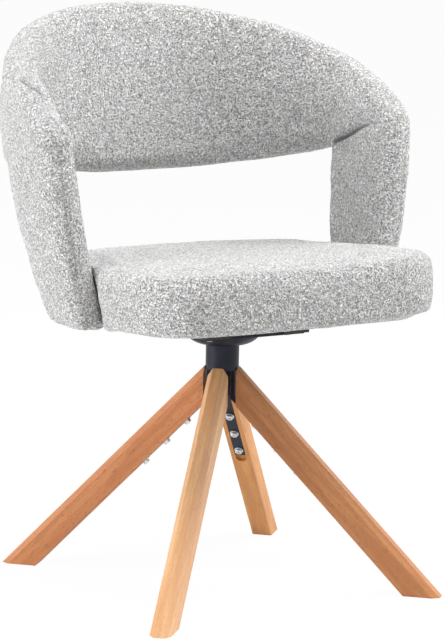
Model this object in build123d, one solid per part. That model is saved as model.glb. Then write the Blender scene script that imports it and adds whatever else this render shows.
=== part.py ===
"""Swivel dining chair: bouclé seat and open horseshoe back on a four-leg beech base.

Millimetres, +Z up. The origin is on the floor under the swivel axis, the sitter faces -Y and
the sitter's left hand is at +X. Each piece is written to parts/NODE.step.
"""
from build123d import *
from math import atan2, cos, degrees, hypot, pi, radians, sin, tan
import os

# ---------------------------------------------------------------- legs and their steel straps
leg_angles = {"front_right": 225, "front_left": 315, "rear_left": 45, "rear_right": 135}
leg_slope = 46.0            # degrees below the horizontal
leg_width = 30.0
leg_depth = 38.5            # across the slope
leg_chamfer = 7.5           # on the two upper long edges
leg_edge_radius = 1.2       # easing of all long edges
leg_top_height = 315.0      # upper edge of the leg's upright end face
leg_end_radius = 24.3       # swivel axis to the leg's upright end face
strap_width = 16.0
strap_thickness = 5.0
strap_length = 141.0        # along the leg, from the underside's upper corner
strap_face_radius = 20.5    # swivel axis to the strap's outer face
strap_weld_length = 18.0    # how far a strap stands inside the column
strap_bend_radius = 4.0     # inside of the bend
strap_tip_radius = 3.0
groove_clearance = 0.3      # each side of the strap
groove_length = 158.0

# ---------------------------------------------------------------- screws that hold the legs
leg_screw_first = 39.0      # along the leg, from the underside's upper corner
leg_screw_pitch = 44.0
leg_screw_count = 3
leg_screw_diameter = 6.0
leg_screw_grip = 27.0       # shank length inside the leg
leg_screw_head_diameter = 10.5
leg_screw_head_height = 4.0
leg_screw_socket = 5.0      # across flats
leg_screw_socket_depth = 2.2
leg_washer_diameter = 13.0
leg_washer_thickness = 1.2

# ---------------------------------------------------------------- column and swivel bearing
column_diameter = 48.0
column_wall = 2.0
column_drop = 4.0           # its lower end below the legs' upper edge
column_length = 39.0
column_bottom = leg_top_height - column_drop
column_top = column_bottom + column_length
housing_length = 19.0       # inside the column
housing_flange = 2.0
bush_diameter = 26.0
bush_length = 9.0
bush_flange = 2.0
bush_upper_flange_diameter = 40.0
bush_lower_flange_diameter = 29.0
spindle_diameter = 20.0
running_clearance = 0.05    # radial, spindle to bush
thrust_washer_thickness = 2.0
thrust_washer_diameter = 36.0
spindle_collar_diameter = 34.0
spindle_tail = 8.0          # spindle below the lower bush
retainer_washer_thickness = 2.0
retainer_washer_diameter = 27.0
clip_thickness = 1.5
clip_diameter = 26.0
clip_groove_depth = 1.2
clip_gap = 6.0

# ---------------------------------------------------------------- swivel plate and its cover
plate_side = 171.0
plate_thickness = 3.0
plate_lift = 19.5           # its underside above the column
plate_underside = column_top + plate_lift
plate_top = plate_underside + plate_thickness
plate_corner_radius = 4.0
cover_rim_diameter = 116.0
cover_depth = 22.0          # below the plate
cover_shoulder = 20.0       # below the plate, where the bowl starts to rise
cover_wall = 2.0
cover_mouth_clearance = 0.6  # radial, cover to column
cover_shoulder_radius = 36.0
plate_screw_spread = 65.0   # swivel axis to the screws, along X
plate_screw_reach = 70.0    # swivel axis to the screws, along Y
plate_screw_diameter = 6.0
plate_screw_grip = 11.0     # inside the rail
plate_screw_head_diameter = 12.0
plate_screw_head_height = 3.2

# ---------------------------------------------------------------- seat
seat_tilt = 2.8             # degrees, front edge up
seat_lift = 19.5            # its underside above the plate, at the swivel axis
seat_underside = plate_top + seat_lift
seat_overhang = 5.54        # its side beyond the middle of the posts' feet
seat_front = 243.0          # swivel axis to the front edge
seat_rear = 200.0           # swivel axis to the rear edge
seat_side_height = 85.0
seat_crown = 6.0
seat_crown_run = 110.0      # from the rolled edge in to the level middle
seat_edge_radius = 19.0     # rolled upper edge
seat_lower_radius = 13.0
seat_bulge = 1.5            # how far the sides stand out at mid height
seat_front_squareness = 6.0
seat_rear_squareness = 2.8
ear_rear = 47.5             # swivel axis forward to the rear face of the seat's front ears
ear_radius = 16.0           # rounding of the ears' rear corners
board_thickness = 15.0
board_inset = 34.0
cover_sheet_thickness = 1.0
cover_sheet_inset = 30.0
rail_width = 42.0
rail_length = 190.0
rail_screw_diameter = 4.5
rail_screw_head_diameter = 9.0
rail_screw_head_height = 3.0
rail_screw_grip = 9.0
rail_screw_reach = 45.0

# ---------------------------------------------------------------- horseshoe back and arm posts
shell_thickness = 54.0      # at the middle of the padding
shell_crown = 3.0           # how far the padding's faces swell between its edges
rim_crown = 1.0             # how far its edges swell
shell_corner = 19.0         # radius of the lower and rear edges
rim_corner_outside = 13.0   # radius of the front and top edge, on the horseshoe's outside
rim_corner_inside = 21.0    # and on its inside
plan_centre_y = 9.8         # where the horseshoe's sides become its curve
plan_half_width = 275.1     # mid-surface, at plan_height
plan_half_width_rise = 10.5     # per 100 mm of height
plan_half_width_round = -4.66   # per 100 mm of height, squared
plan_depth = 244.9
plan_depth_rise = 24.6      # per 100 mm of height: the back's recline
plan_squareness = 2.5
plan_squareness_rise = -0.25
back_height = 248.0         # at the middle
back_fall = 137.0           # how far the top edge falls on its way to the arm's front
back_fall_angle = 92.0      # degrees round the horseshoe
back_sag = 33.0             # lower edge at the middle, below the window's corner
back_bottom_rise = 42.0     # at the window's corner
back_bottom_power = 2.5
window_corner_angle = 68.8  # degrees round the horseshoe
window_corner_rise = 214.0  # above the posts' feet
window_corner_radius = 8.0
post_front_foot = 19.0      # front rim of the post forward of the axis, at the foot
post_front_lean = 9.0       # how far that rim goes back up to the window's corner
post_rear_top = 79.0        # rear rim of the post behind the axis, level with the window's corner
post_rear_lean = 53.5       # how far that rim comes forward down to the foot
seam_rear_y = 108.0         # seam between back and post, at the window's corner
seam_rear_rise = 12.0       # above the window's corner
seam_front_y = -35.0
seam_front_rise = 60.0

post_foot_drop = 2.0        # the posts' feet below the seat's underside
foot_round_inset = 14.0     # rounding of the posts' feet
foot_round_height = 20.0
plan_level = 210.0          # above the posts' feet, where the plan's sizes hold
post_foot_height = seat_underside - post_foot_drop
plan_height = post_foot_height + plan_level
window_corner_height = post_foot_height + window_corner_rise
back_bottom = window_corner_height - back_sag
back_top = back_bottom + back_height
seam_rear_height = window_corner_height + seam_rear_rise
seam_front_height = window_corner_height + seam_front_rise

# ---------------------------------------------------------------- steel frame inside the back
frame_tube_diameter = 18.0
frame_bend_radius = 60.0
bracket_width = 40.0
bracket_thickness = 5.0
bracket_height = 2.0        # above the seat board
bracket_end = 14.0          # its inner end to the inner bolt
bracket_beyond = 23.54      # its outer end past the middle of the post's foot
bracket_bolt_diameter = 6.0
bracket_bolt_head_diameter = 11.0
bracket_bolt_head_height = 3.5
bracket_bolt_pitch = 28.0
bracket_bolt_margin = 13.46  # outer bolt to the post's inner face
nut_diameter = 18.0
nut_thickness = 1.5
soft_clearance = 0.3

os.makedirs("parts", exist_ok=True)


def save(name, shape):
    shape.label = name
    export_step(shape, f"parts/{name}.step")


def disc(radius, bottom, top):
    """Upright cylinder between two heights."""
    return Pos(0, 0, bottom) * extrude(Circle(radius), top - bottom)


def ring(outer, inner, bottom, top):
    return disc(outer, bottom, top) - disc(inner, bottom - 1, top + 1)


# ================================================================ base
def leg_frame(angle):
    """Plane at the underside's upper corner: x runs down the leg, y across it, z up through it."""
    end_height = leg_depth / cos(radians(leg_slope))
    outward = Vector(cos(radians(angle)), sin(radians(angle)), 0)
    corner = outward * leg_end_radius + Vector(0, 0, leg_top_height - end_height)
    down = outward * cos(radians(leg_slope)) - Vector(0, 0, sin(radians(leg_slope)))
    normal = outward * sin(radians(leg_slope)) + Vector(0, 0, cos(radians(leg_slope)))
    return Plane(origin=corner, x_dir=down, z_dir=normal)


def screw_stations():
    return [leg_screw_first + leg_screw_pitch * i for i in range(leg_screw_count)]


def leg_blank():
    """The leg in its own plane: chamfered bar, upright inner end, level foot."""
    slope = radians(leg_slope)
    end_height = leg_depth / cos(slope)
    foot_run = (leg_top_height - end_height) / sin(slope)
    half, edge = leg_width / 2, leg_width / 2 - leg_chamfer
    section = Polygon(
        (-half, 0), (half, 0), (half, leg_depth - leg_chamfer), (edge, leg_depth),
        (-edge, leg_depth), (-half, leg_depth - leg_chamfer), align=None)
    section = fillet(section.vertices(), leg_edge_radius)
    bar = Pos(-2 * leg_depth, 0, 0) * extrude(Plane.YZ * section, foot_run + 5 * leg_depth)
    inner_slope = tan(slope)
    inner_end = Polygon(
        (0, 0), (-leg_depth * inner_slope, leg_depth), (-4 * leg_depth, leg_depth),
        (-4 * leg_depth, 0), align=None)
    bar -= extrude(Plane.XZ * inner_end, leg_width, both=True)
    foot_back = leg_depth / tan(slope)
    floor_cut = Polygon(
        (foot_run, 0), (foot_run + foot_back, leg_depth), (foot_run + 8 * leg_depth, leg_depth),
        (foot_run + 8 * leg_depth, 0), align=None)
    return bar - extrude(Plane.XZ * floor_cut, leg_width, both=True)


def leg(angle):
    """Leg with the strap's routed groove in its underside and the screws' pilot holes."""
    blank = leg_blank()
    half = strap_width / 2 + groove_clearance
    groove = Pos(-leg_depth, 0, 0) * extrude(
        Rectangle(leg_depth + groove_length - half, 2 * half, align=(Align.MIN, Align.CENTER)),
        strap_thickness)
    groove += Pos(groove_length - half, 0, 0) * extrude(Circle(half), strap_thickness)
    blank -= groove
    for along in screw_stations():
        hole_top = strap_thickness + leg_screw_grip
        blank -= Pos(along, 0, 0) * disc(leg_screw_diameter / 2, -1, hole_top)
    return leg_frame(angle) * blank


def strap(angle):
    """Flat bar bent from the column's inner wall down into the leg's groove."""
    slope = radians(leg_slope)
    corner_height = leg_top_height - leg_depth / cos(slope)
    outer, inner = strap_face_radius, strap_face_radius - strap_thickness

    def under(radius):
        return corner_height + (leg_end_radius - radius) * tan(slope)

    lift = strap_thickness / cos(slope)
    end = Vector(leg_end_radius + strap_length * cos(slope), 0)
    end_height = corner_height - strap_length * sin(slope)
    profile = Polygon(
        (inner, column_bottom + strap_weld_length), (outer, column_bottom + strap_weld_length),
        (outer, under(outer) + lift),
        (end.X + strap_thickness * sin(slope), end_height + strap_thickness * cos(slope)),
        (end.X, end_height), (inner, under(inner)), align=None)
    inside = profile.vertices().sort_by(lambda v: hypot(v.X - outer, v.Y - under(outer) - lift))[0]
    profile = fillet(inside, strap_bend_radius)
    outside = profile.vertices().sort_by(lambda v: hypot(v.X - inner, v.Y - under(inner)))[0]
    profile = fillet(outside, strap_bend_radius + strap_thickness)
    bar = extrude(Plane.XZ * profile, strap_width / 2, both=True)
    short_edges = bar.edges().filter_by(lambda e: abs(e.length - strap_thickness) < 0.01)
    bar = fillet(short_edges.sort_by(Axis.Z)[:2], strap_tip_radius)
    for along in screw_stations():
        hole = leg_frame(0) * Pos(along, 0, 0) * disc(leg_screw_diameter / 2, -9, 9)
        bar -= hole
    return Rot(0, 0, angle) * bar


def leg_screw():
    """Socket-head screw in the leg's plane, its head below the underside."""
    half = leg_screw_head_diameter / 2
    seat = -leg_washer_thickness
    head = disc(half, seat - leg_screw_head_height, seat)
    head = fillet(head.edges().sort_by(Axis.Z)[0], 1.2)
    socket = Pos(0, 0, seat - leg_screw_head_height) * extrude(
        RegularPolygon(leg_screw_socket / 2, 6, major_radius=False), leg_screw_socket_depth)
    shank = disc(leg_screw_diameter / 2, seat, strap_thickness + leg_screw_grip)
    return head - socket + shank


def leg_washer():
    return ring(leg_washer_diameter / 2, leg_screw_diameter / 2, -leg_washer_thickness, 0)


def on_every_leg(piece):
    """Copies of a screw or washer at each screw station of each leg."""
    return Compound(children=[
        leg_frame(angle) * Pos(along, 0, 0) * piece
        for angle in leg_angles.values() for along in screw_stations()])


def column():
    outer = column_diameter / 2
    return ring(outer, outer - column_wall, column_bottom, column_top)


housing_bottom = column_top - housing_length
housing_top = column_top + housing_flange
thrust_top = housing_top + bush_flange + thrust_washer_thickness
lower_bush_bottom = housing_bottom - bush_flange
retainer_top = lower_bush_bottom
spindle_bottom = lower_bush_bottom - spindle_tail
clip_top = retainer_top - retainer_washer_thickness


def bearing_housing():
    """Turned plug in the column's mouth, with a flange on the column's end."""
    plug = disc(column_diameter / 2 - column_wall, housing_bottom, column_top)
    flange = disc(column_diameter / 2, column_top, housing_top)
    return plug + flange - disc(bush_diameter / 2, housing_bottom - 1, housing_top + 1)


def bush_upper():
    bore = spindle_diameter / 2 + running_clearance
    sleeve = ring(bush_diameter / 2, bore, housing_top - bush_length, housing_top)
    flange = ring(bush_upper_flange_diameter / 2, bore, housing_top, housing_top + bush_flange)
    return sleeve + flange


def bush_lower():
    bore = spindle_diameter / 2 + running_clearance
    sleeve = ring(bush_diameter / 2, bore, housing_bottom, housing_bottom + bush_length)
    flange = ring(bush_lower_flange_diameter / 2, bore, lower_bush_bottom, housing_bottom)
    return sleeve + flange


def thrust_washer():
    bore = spindle_diameter / 2 + running_clearance
    return ring(thrust_washer_diameter / 2, bore, thrust_top - thrust_washer_thickness, thrust_top)


# ================================================================ swivel, turning with the seat


def spindle():
    """Turned pin under the plate, with a thrust collar and a clip groove near its end."""
    pin = disc(spindle_diameter / 2, spindle_bottom, plate_underside)
    collar = disc(spindle_collar_diameter / 2, thrust_top, plate_underside)
    groove = ring(spindle_diameter, spindle_diameter / 2 - clip_groove_depth,
                  clip_top - clip_thickness, clip_top)
    pin = pin - groove + collar
    return chamfer(pin.edges().sort_by(Axis.Z)[0], 1)


def retainer_washer():
    bore = spindle_diameter / 2 + running_clearance
    return ring(retainer_washer_diameter / 2, bore, clip_top, retainer_top)


def retainer_clip():
    inner = spindle_diameter / 2 - clip_groove_depth
    clip = ring(clip_diameter / 2, inner, clip_top - clip_thickness, clip_top)
    gap = Pos(clip_diameter / 2, 0, clip_top) * Box(clip_diameter, clip_gap, 4 * clip_thickness)
    return clip - gap


def swivel_plate():
    outline = RectangleRounded(plate_side, plate_side, plate_corner_radius)
    plate = Pos(0, 0, plate_underside) * extrude(outline, plate_thickness)
    for x, y in plate_screw_places():
        plate -= Pos(x, y, 0) * disc(plate_screw_diameter / 2, plate_underside - 1, plate_top + 1)
    return plate


def plate_screw_places():
    return [(x, y) for x in (-plate_screw_spread, plate_screw_spread)
            for y in (-plate_screw_reach, plate_screw_reach)]


def plate_screws():
    screws = []
    for x, y in plate_screw_places():
        low = plate_underside - plate_screw_head_height
        head = disc(plate_screw_head_diameter / 2, low, plate_underside)
        head = fillet(head.edges().sort_by(Axis.Z)[0], 2)
        shank = disc(plate_screw_diameter / 2, plate_underside, plate_top + plate_screw_grip)
        screws.append(Pos(x, y, 0) * (head + shank))
    return Compound(children=screws)


def swivel_cover():
    """Pressed steel bowl under the plate, open round the column."""
    mouth = column_diameter / 2 + cover_mouth_clearance
    low = plate_underside - cover_depth
    shoulder = plate_underside - cover_shoulder
    rim = cover_rim_diameter / 2

    def outline(shift):
        inner_rim = rim - shift
        middle = (cover_shoulder_radius + inner_rim) / 2
        sag = shoulder + shift + 0.27 * (plate_underside - shoulder)
        return (mouth, low + shift), (cover_shoulder_radius, shoulder + shift), \
            (middle, sag), (inner_rim, plate_underside)

    a, b, c, d = outline(0)
    e, f, g, h = outline(cover_wall)
    profile = Line(a, b) + ThreePointArc(b, c, d) + Line(d, h)
    profile += ThreePointArc(h, g, f) + Line(f, e) + Line(e, a)
    return revolve(Plane.XZ * make_face(profile), Axis.Z)


# ================================================================ seat
def seat_plane():
    """Plane of the seat's underside, turned up at the front."""
    return Pos(0, 0, seat_underside) * Rot(-seat_tilt, 0, 0)


def under_seat(y):
    """Height of the seat's underside at a distance behind the swivel axis."""
    return seat_underside - y * tan(radians(seat_tilt))


def seat_point(angle, inset):
    """Superellipse outline: the front half is squarer than the rear half."""
    c, s = cos(radians(angle)), sin(radians(angle))
    power = seat_front_squareness if s < 0 else seat_rear_squareness
    reach = (seat_front if s < 0 else seat_rear) - inset
    x = (seat_half_width - inset) * abs(c) ** (2 / power) * (1 if c > 0 else -1)
    y = reach * abs(s) ** (2 / power) * (1 if s > 0 else -1)
    return x, y


def seat_outline(inset, height=0.0):
    """The outline as arcs at one height of the seat's own plane."""
    stops = [-65, -25, 0, 28, 62, 118, 152, 180, 205, 245, 295]
    arcs = []
    for start, end in zip(stops, stops[1:]):
        ends = [(*seat_point(a, inset), height) for a in (start, (start + end) / 2, end)]
        arcs.append(ThreePointArc(*ends))
    return Face(Wire(arcs))


def seat_body():
    """Cushion with a rolled upper edge, swelling sides and a crowned top."""
    roll, low, side = seat_edge_radius, seat_lower_radius, seat_side_height
    crown_steps = 10
    stations = []
    for turn in (90, 60, 30):
        stations.append((low * (1 - cos(radians(turn))), low * (1 - sin(radians(turn)))))
    for share in (0, 0.2, 0.4, 0.6, 0.8, 1):
        stations.append((-seat_bulge * sin(pi * share), low + share * (side - low - roll)))
    for turn in (20, 40, 60, 75):
        stations.append((roll * (1 - cos(radians(turn))), side - roll * (1 - sin(radians(turn)))))
    for share in [step / crown_steps for step in range(1, crown_steps + 1)]:
        stations.append((roll + seat_crown_run * share, side + seat_crown * sin(pi / 2 * share)))
    return loft([seat_outline(inset, height) for inset, height in stations])


def seat_board():
    """Plywood board in the cushion's underside, drilled for its fasteners."""
    board = extrude(seat_outline(board_inset), board_thickness)
    for x, y in bracket_bolt_places():
        board -= Pos(x, y, 0) * disc(bracket_bolt_diameter / 2, -1, board_thickness + 1)
        board -= Pos(x, y, 0) * disc(nut_diameter / 2, 0, nut_thickness)
    for x, y in rail_screw_places():
        top = board_thickness
        board -= Pos(x, y, 0) * disc(rail_screw_diameter / 2, -1, top + 1)
        board -= Pos(x, y, 0) * disc(rail_screw_head_diameter / 2, top - rail_screw_head_height, top + 1)
    return seat_plane() * board


def bracket_bolt_places():
    """Both brackets' bolts, in the seat's own plane."""
    xs = [bracket_bolt_inner, bracket_bolt_outer]
    return [(side * x, bracket_y()) for side in (-1, 1) for x in xs]


def bracket_y():
    """The brackets lie under the middle of the posts' feet."""
    height = under_seat(0) + board_thickness
    return (post_front(height) + post_rear(height)) / 2


def rail_screw_places():
    return [(x, y) for x in (-plate_screw_spread, plate_screw_spread)
            for y in (-rail_screw_reach, rail_screw_reach)]


def rail_blank(side):
    """Hardwood bar between plate and seat board, planed to the seat's slope."""
    half = rail_length / 2
    profile = Polygon(
        (-half, plate_top), (half, plate_top), (half, under_seat(half)),
        (-half, under_seat(-half)), align=None)
    bar = extrude(Plane.YZ * profile, rail_width / 2, both=True)
    return Pos(side * plate_screw_spread, 0, 0) * bar


def rail(side):
    bar = rail_blank(side)
    for x, y in plate_screw_places():
        bar -= Pos(x, y, 0) * disc(plate_screw_diameter / 2, plate_top - 1, plate_top + plate_screw_grip)
    for x, y in rail_screw_places():
        hole = Pos(x, y, 0) * disc(rail_screw_diameter / 2, -rail_screw_grip, 1)
        bar -= seat_plane() * hole
    return bar


def rail_screws():
    screws = []
    for x, y in rail_screw_places():
        top = board_thickness
        head = disc(rail_screw_head_diameter / 2, top - rail_screw_head_height, top)
        shank = disc(rail_screw_diameter / 2, -rail_screw_grip, top - rail_screw_head_height)
        screws.append(seat_plane() * Pos(x, y, 0) * (head + shank))
    return Compound(children=screws)


def dust_cover():
    """Thin black cloth stapled under the seat, cut out round the rails."""
    sheet = Pos(0, 0, -cover_sheet_thickness) * extrude(
        seat_outline(cover_sheet_inset), cover_sheet_thickness)
    return seat_plane() * sheet - rail_blank(-1) - rail_blank(1)


def arm_bracket(side):
    """Flat steel foot of the back's frame, lying on the seat board."""
    low = board_thickness + bracket_height
    inner, outer = bracket_bolt_inner - bracket_end, post_foot_half + bracket_beyond
    length, middle = outer - inner, side * (inner + outer) / 2
    bar = Pos(middle, bracket_y(), low + bracket_thickness / 2) * Box(
        length, bracket_width, bracket_thickness)
    pad = Pos(side * (bracket_bolt_inner + bracket_bolt_outer) / 2, bracket_y(), 0) * Box(
        bracket_bolt_pitch + bracket_width / 2, bracket_width, bracket_height,
        align=(Align.CENTER, Align.CENTER, Align.MIN))
    bar += Pos(0, 0, board_thickness) * pad
    for x, y in bracket_bolt_places():
        bar -= Pos(x, y, 0) * disc(bracket_bolt_diameter / 2, 0, low + 2 * bracket_thickness)
    return seat_plane() * bar


def bracket_bolts():
    bolts = []
    seat = board_thickness + bracket_height + bracket_thickness
    for x, y in bracket_bolt_places():
        head = disc(bracket_bolt_head_diameter / 2, seat, seat + bracket_bolt_head_height)
        shank = disc(bracket_bolt_diameter / 2, 0.5, seat)
        bolts.append(seat_plane() * Pos(x, y, 0) * (head + shank))
    return Compound(children=bolts)


def bracket_nuts():
    """Flanges of the nuts let into the board's underside."""
    nut = ring(nut_diameter / 2, bracket_bolt_diameter / 2, 0, nut_thickness)
    return Compound(children=[seat_plane() * Pos(x, y, 0) * nut for x, y in bracket_bolt_places()])


# ================================================================ horseshoe shell
def plan_shape(height):
    """Half width, depth and squareness of the horseshoe's mid-surface at a height."""
    q = (height - plan_height) / 100
    half = plan_half_width + plan_half_width_rise * q + plan_half_width_round * q * q
    return half, plan_depth + plan_depth_rise * q, plan_squareness + plan_squareness_rise * q


rim = shell_thickness / 2   # from an edge of the shell to the middle of its rounding
post_foot_half = plan_shape(post_foot_height)[0]
seat_half_width = post_foot_half + seat_overhang
bracket_bolt_outer = post_foot_half - rim - bracket_bolt_margin
bracket_bolt_inner = bracket_bolt_outer - bracket_bolt_pitch


def round_point(angle, height):
    """Point of the mid-surface at an angle round the horseshoe, 0 at the back's middle."""
    half, depth, power = plan_shape(height)
    turn = radians(abs(angle))
    side = 1 if angle >= 0 else -1
    if abs(angle) >= 90:
        return Vector(side * half, plan_centre_y - (turn - pi / 2) * half, height)
    reach = ((sin(turn) / half) ** power + (cos(turn) / depth) ** power) ** (-1 / power)
    return Vector(side * reach * sin(turn), plan_centre_y + reach * cos(turn), height)


def side_point(y, height):
    """Point of the mid-surface's +X side at a distance behind the swivel axis."""
    half, depth, power = plan_shape(height)
    share = max(y - plan_centre_y, 0) / depth
    return Vector(half * (1 - share ** power) ** (1 / power), y, height)


def angle_of(point):
    return degrees(atan2(point.X, point.Y - plan_centre_y))




def top_rim(angle):
    return back_top - rim - back_fall * (angle / back_fall_angle) ** 2


def low_rim(angle):
    return back_bottom + rim + back_bottom_rise * (angle / window_corner_angle) ** back_bottom_power


def post_front(height):
    rise = (height - post_foot_height) / (window_corner_height - post_foot_height)
    return -post_front_foot + post_front_lean * max(rise, 0) ** 2.5


def post_rear(height):
    drop = (window_corner_height - height) / (window_corner_height - post_foot_height)
    return post_rear_top - post_rear_lean * max(drop, 0) ** 1.45


def post_stations():
    """Level cuts from the rounded foot up to the window's corner: rims and inset."""
    foot = post_foot_height
    rounding = ((0, 1), (0.15, 0.54), (0.45, 0.18), (1, 0))
    cuts = [(foot + foot_round_height * up, foot_round_inset * share) for up, share in rounding]
    rise = window_corner_height - foot
    cuts += [(foot + rise * share, 0) for share in (0.27, 0.48, 0.68, 0.86)]
    return [(side_point(post_rear(z), z), side_point(post_front(z), z), inset) for z, inset in cuts]


def fan_stations():
    """Cuts that turn about the window's upper corner, from level to upright."""
    steps = 6
    radius = rim + window_corner_radius
    half = plan_shape(window_corner_height)[0]
    centre_s = radians(window_corner_angle) * half
    join = top_rim(back_fall_angle)
    out = []
    for i in range(steps + 1):
        turn = radians(90 * i / steps)
        inner_angle = degrees((centre_s + radius * cos(turn)) / half)
        inner = round_point(inner_angle, window_corner_height + radius * sin(turn))
        if i < 3:
            height = window_corner_height + (join - window_corner_height) * i / 2
            outer = side_point(post_front(height), height)
        else:
            share = (i - 2) / (steps - 2)
            angle = back_fall_angle + (window_corner_angle - back_fall_angle) * share ** 0.9
            outer = round_point(angle, top_rim(angle))
        out.append((inner, outer, 0))
    return out


def back_stations():
    """Upright cuts round the back, ending at its middle."""
    angles = [window_corner_angle * share for share in (0.89, 0.77, 0.64, 0.5, 0.34, 0.17, 0)]
    return [(round_point(a, low_rim(a)), round_point(a, top_rim(a)), 0) for a in angles]


def outward(point):
    """Level normal of the mid-surface."""
    angle = angle_of(point)
    step = 0.5
    ahead, behind = round_point(angle + step, point.Z), round_point(angle - step, point.Z)
    along = (ahead - behind).normalized()
    return Vector(-along.Y, along.X, 0)


def shell_section(inner, outer, inset):
    """Closed cut of the padding: two swelling faces, two ends and four rounded corners."""
    middle = (inner + outer) * 0.5
    run = (outer - inner).normalized()
    normal = outward(middle)
    normal = (normal - run * normal.dot(run)).normalized()
    end = (outer - inner).length / 2 + rim - inset
    half = rim - shell_crown - inset
    corners = [
        (1, 1, rim_corner_outside), (-1, 1, shell_corner),
        (-1, -1, shell_corner), (1, -1, rim_corner_inside)]
    corners = [(u, v, min(radius, half - 1)) for u, v, radius in corners]

    def at(u, v):
        return middle + run * u + normal * v

    pieces = []
    for (u, v, r), (next_u, next_v, next_r) in zip(corners, corners[1:] + corners[:1]):
        cut = r * (1 - cos(pi / 4))
        round_ends = [at(u * end, v * (half - r)), at(u * (end - r), v * half)]
        if u != v:
            round_ends.reverse()
        pieces.append(ThreePointArc(
            round_ends[0], at(u * (end - cut), v * (half - cut)), round_ends[1]))
        if v == next_v:
            start, bulge = round_ends[1], at(0, v * (half + shell_crown))
            finish = at(next_u * (end - next_r), v * half)
        else:
            start, bulge = round_ends[1], at(u * (end + rim_crown), 0)
            finish = at(u * end, next_v * (half - next_r))
        pieces.append(ThreePointArc(start, bulge, finish))
    return Face(Wire(pieces))


def mirrored(point):
    return Vector(-point.X, point.Y, point.Z)


def shell():
    """The whole padded ribbon: one post, round the back, the other post."""
    right = post_stations() + fan_stations() + back_stations()
    left = [(mirrored(a), mirrored(b), inset) for a, b, inset in reversed(right[:-1])]
    return loft([shell_section(a, b, inset) for a, b, inset in right + left])


def frame_hoop():
    """Bent steel tube through the middle of the shell, from bracket to bracket."""
    stations = post_stations()[3::4] + fan_stations()[5:6] + back_stations()[1::2]
    right = [(a + b) * 0.5 for a, b, inset in stations]
    path = right + [mirrored(point) for point in reversed(right)]
    line = FilletPolyline(*path, radius=frame_bend_radius)
    section = Plane(origin=path[0], z_dir=line % 0) * Circle(frame_tube_diameter / 2)
    return sweep(section, path=line)


def seam_knife():
    """Everything below the seam between the back and its posts, in front of the window."""
    front = -2 * plan_half_width
    slope = (seam_rear_height - seam_front_height) / (seam_rear_y - seam_front_y)
    profile = Polygon(
        (front, 0), (seam_rear_y, 0), (seam_rear_y, seam_rear_height),
        (front, seam_rear_height + (front - seam_rear_y) * slope), align=None)
    return extrude(Plane.YZ * profile, 3 * plan_half_width, both=True)


def post_gap(side):
    """Space beside the seat behind its front ears, as far in as the post's inner face."""
    low, high = post_foot_height - seat_side_height, post_foot_height + 2 * seat_side_height
    face_low, face_high = post_foot_height, post_foot_height + seat_side_height
    half_low, half_high = plan_shape(face_low)[0], plan_shape(face_high)[0]
    lean = (half_high - half_low) / (face_high - face_low)
    swell = rim + soft_clearance
    far = 2 * seat_half_width
    profile = Polygon(
        (half_low + lean * (low - face_low) - swell, low), (far, low), (far, high),
        (half_low + lean * (high - face_low) - swell, high), align=None)
    block = Pos(0, far - ear_rear, 0) * extrude(Plane.XZ * profile, far)
    return block if side > 0 else mirror(block, Plane.YZ)


def ear_corner(side):
    """What the rounding of a front ear's rear corner takes away."""
    centre = (side * (seat_half_width - ear_radius), -ear_rear - ear_radius)
    tall = 4 * seat_side_height
    block = Pos(*centre) * Box(
        2 * ear_radius, 2 * ear_radius, tall,
        align=(Align.MIN if side > 0 else Align.MAX, Align.MIN, Align.CENTER))
    return block - Pos(*centre) * disc(ear_radius, -tall, tall)


# ================================================================ build and write
for place, angle in leg_angles.items():
    save(f"leg_{place}", leg(angle))
    save(f"strap_{place}", strap(angle))
save("leg_screws", on_every_leg(leg_screw()))
save("leg_washers", on_every_leg(leg_washer()))
save("column_tube", column())
save("bearing_housing", bearing_housing())
save("bush_upper", bush_upper())
save("bush_lower", bush_lower())
save("thrust_washer", thrust_washer())

save("spindle", spindle())
save("retainer_washer", retainer_washer())
save("retainer_clip", retainer_clip())
save("swivel_plate", swivel_plate())
save("plate_screws", plate_screws())
save("swivel_cover", swivel_cover())

rails = {"left": rail(1), "right": rail(-1)}
brackets = {"left": arm_bracket(1), "right": arm_bracket(-1)}
board = seat_board()
bolts = bracket_bolts()
save("seat_board", board)
save("rail_screws", rail_screws())
save("bracket_bolts", bolts)
save("bracket_nuts", bracket_nuts())
save("dust_cover", dust_cover())
for side, piece in rails.items():
    save(f"seat_rail_{side}", piece)
for side, piece in brackets.items():
    save(f"arm_bracket_{side}", piece)

whole_shell = shell()
hoop = frame_hoop()
for piece in brackets.values():
    hoop -= piece
hoop = hoop.solids().sort_by(SortBy.VOLUME)[-1]
knife = seam_knife()
save("back_frame", hoop)
save("back_cushion", whole_shell - knife - hoop)
posts = (whole_shell & knife).solids().sort_by(Axis.X)
for side, piece in (("right", posts[0]), ("left", posts[-1])):
    save(f"post_{side}", piece - hoop - brackets[side])

cushion = seat_plane() * (seat_body() - extrude(seat_outline(board_inset), board_thickness))
for side in (-1, 1):
    cushion -= post_gap(side)
    cushion -= seat_plane() * ear_corner(side)
for piece in (*brackets.values(), bolts):
    cushion -= piece
save("seat_cushion", cushion)
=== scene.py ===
"""Swivel dining chair: padding, finishes, studio and camera.

The frame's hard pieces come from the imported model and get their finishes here. The padded
horseshoe and the seat cushion are worked out as surfaces, swollen by cloth simulation and
creased along their seams. Shapes are in millimetres and go into the meshes in metres. Finishes
work in metres, and a noise's scale is per metre. The seat faces -Y, and +X is the sitter's left.
"""
import math

import bmesh
import bpy
import numpy as np
from mathutils import Matrix


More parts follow.
